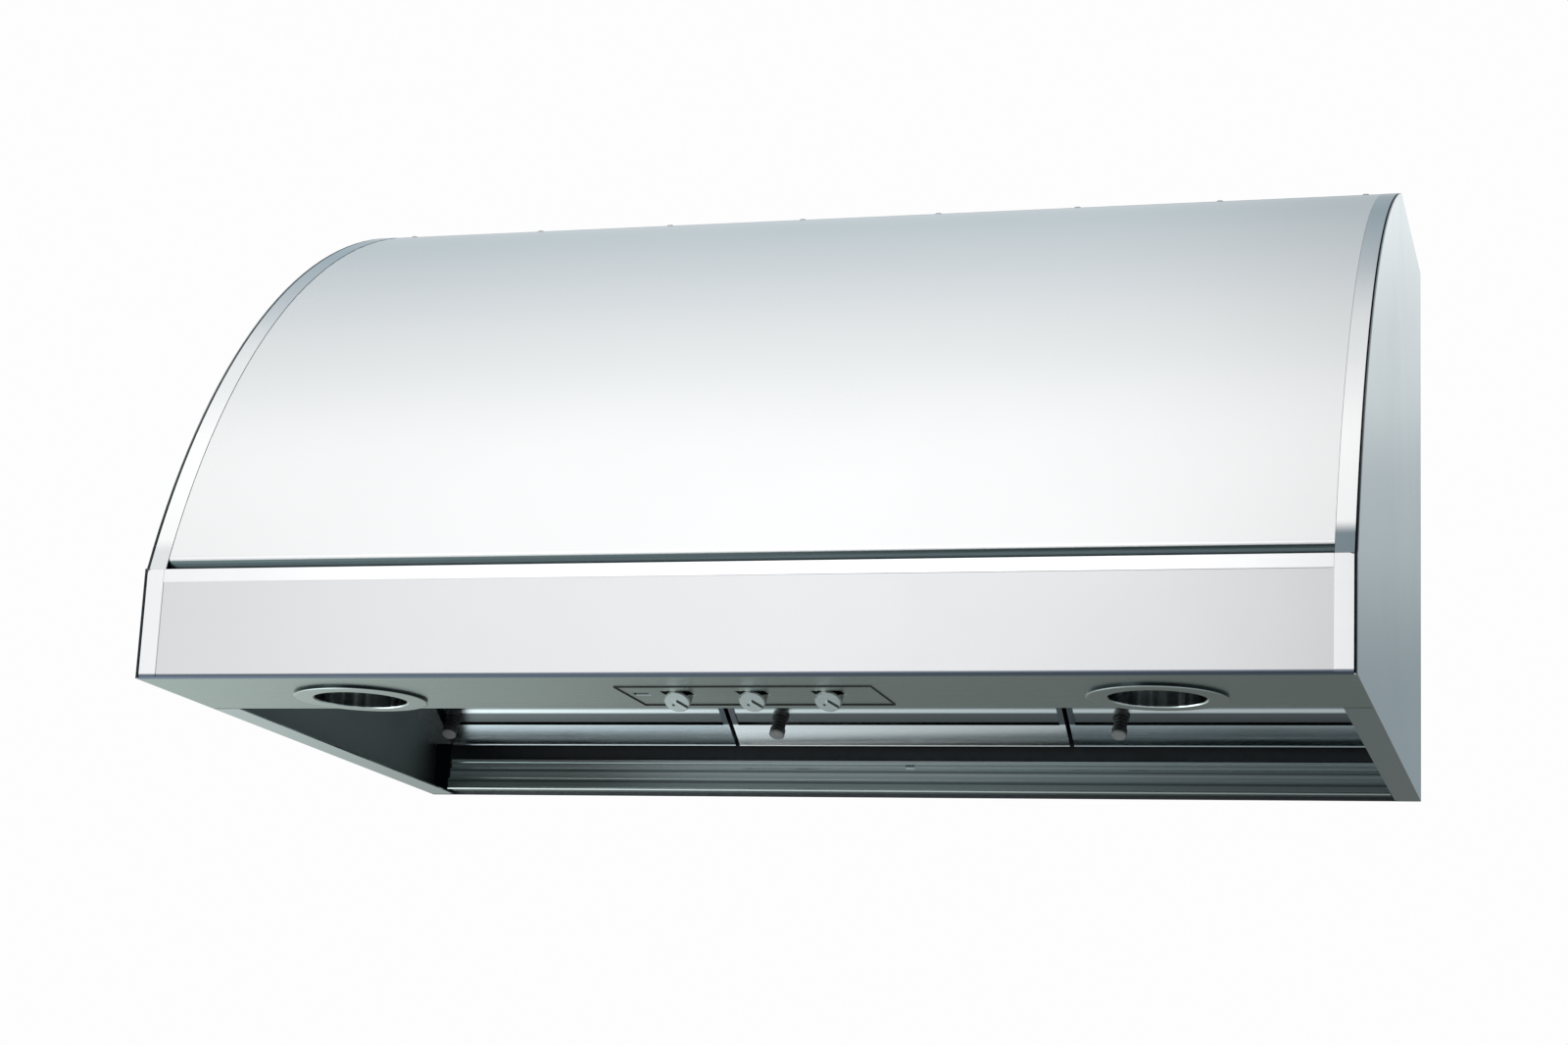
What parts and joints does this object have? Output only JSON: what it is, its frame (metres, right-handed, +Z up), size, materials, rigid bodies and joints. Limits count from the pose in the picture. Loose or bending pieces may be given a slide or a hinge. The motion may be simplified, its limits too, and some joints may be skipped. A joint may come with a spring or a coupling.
{
  "type": "under cabinet range hood",
  "caption": "Under cabinet range hood: rolled stainless canopy over an upright front band, lamps and knobs underneath, pivoting grease filters, blower and rectangular duct collar inside.",
  "frame": {"origin": "centre of the four cabinet screw holes, on the top face", "axes": "+X to the right as the cook faces the hood, +Y back to the wall, +Z up"},
  "size_m": [0.914, 0.61, 0.5198],
  "materials": {
    "brushed": "horizontal fine brushed stainless",
    "side_steel": "fine brushed stainless",
    "polished": "bright polished stainless",
    "under_steel": "satin stainless",
    "galvanised": "zinc coated sheet, dull",
    "filter_steel": "satin stainless",
    "knob_metal": "turned satin metal",
    "bright_steel": "bright zinc plated",
    "black_plastic": "moulded black plastic",
    "black_rubber": "matt black sleeve",
    "lamp_glass": "pressed lens glass",
    "porcelain": "glazed lamp holder",
    "motor_paint": "dark enamel",
    "capacitor_case": "moulded case"
  },
  "bodies": {
    "hood": {"canopy": "brushed", "front_band": "brushed", "left_side_panel": "side_steel", "right_side_panel": "side_steel", "left_edge_strip": "polished", "right_edge_strip": "polished", "band_top_strip": "polished", "band_side_strips": "polished", "lamp_trim_left": "polished", "lamp_trim_right": "polished", "lamp_panel": "under_steel", "control_plate": "under_steel", "rear_rail": "under_steel", "top_panel": "galvanised", "back_panel": "galvanised", "inner_front_wall": "galvanised", "lamp_can_left": "galvanised", "lamp_can_right": "galvanised", "filter_ledge": "galvanised", "filter_side_rails": "galvanised", "scroll_left": "galvanised", "scroll_right": "galvanised", "motor_bracket": "galvanised", "discharge_box": "galvanised", "duct_collar": "galvanised", "junction_box": "galvanised", "junction_cover": "galvanised", "control_nuts": "bright_steel", "damper_pin": "bright_steel", "canopy_screws": "bright_steel", "blower_screws": "bright_steel", "rotary_controls": "black_plastic", "wiring_loom": "black_rubber", "wall_grommet": "black_rubber", "lamp_bulb_left": "lamp_glass", "lamp_bulb_right": "lamp_glass", "lamp_sockets": "porcelain", "motor": "motor_paint", "run_capacitor": "capacitor_case"},
    "knob_left_turning": {"knob_left": "knob_metal", "shaft_left": "bright_steel"},
    "filter_left": {"filter_left_frame": "filter_steel", "filter_left_baffles": "filter_steel", "filter_left_grip": "black_plastic"},
    "knob_middle_turning": {"knob_middle": "knob_metal", "shaft_middle": "bright_steel"},
    "filter_middle": {"filter_middle_frame": "filter_steel", "filter_middle_baffles": "filter_steel", "filter_middle_grip": "black_plastic"},
    "knob_right_turning": {"knob_right": "knob_metal", "shaft_right": "bright_steel"},
    "filter_right": {"filter_right_frame": "filter_steel", "filter_right_baffles": "filter_steel", "filter_right_grip": "black_plastic"},
    "tray": {"grease_tray": "under_steel"},
    "rotor": {"wheel_left": "black_plastic", "wheel_right": "black_plastic", "fan_shaft": "bright_steel"},
    "flap": {"damper_flap": "galvanised"}
  },
  "joints": [
    {"name": "knob_left_turn", "type": "hinge", "parent": "hood", "child": "knob_left_turning", "pos_m": [-0.048, -0.431, -0.484], "axis": [0, 0.6428, 0.766], "range_deg": [0, 270]},
    {"name": "knob_middle_turn", "type": "hinge", "parent": "hood", "child": "knob_middle_turning", "pos_m": [0.01, -0.431, -0.484], "axis": [0, 0.6428, 0.766], "range_deg": [0, 270]},
    {"name": "knob_right_turn", "type": "hinge", "parent": "hood", "child": "knob_right_turning", "pos_m": [0.068, -0.431, -0.484], "axis": [0, 0.6428, 0.766], "range_deg": [0, 270]},
    {"name": "filter_left_swing", "type": "hinge", "parent": "hood", "child": "filter_left", "pos_m": [-0.29475, -0.24402, -0.239], "axis": [-1, 0, 0], "range_deg": [0, 60]},
    {"name": "filter_middle_swing", "type": "hinge", "parent": "hood", "child": "filter_middle", "pos_m": [0, -0.24402, -0.239], "axis": [-1, 0, 0], "range_deg": [0, 60]},
    {"name": "filter_right_swing", "type": "hinge", "parent": "hood", "child": "filter_right", "pos_m": [0.29475, -0.24402, -0.239], "axis": [-1, 0, 0], "range_deg": [0, 60]},
    {"name": "tray_lift", "type": "slide", "parent": "hood", "child": "tray", "axis": [0, 0, 1], "range_m": [0, 0.01]},
    {"name": "rotor_spin", "type": "hinge", "parent": "hood", "child": "rotor", "pos_m": [0, -0.002, -0.207], "axis": [1, 0, 0], "continuous": true},
    {"name": "flap_swing", "type": "hinge", "parent": "hood", "child": "flap", "pos_m": [0, 0.023, 0.009], "axis": [1, 0, 0], "range_deg": [0, 75]}
  ]
}
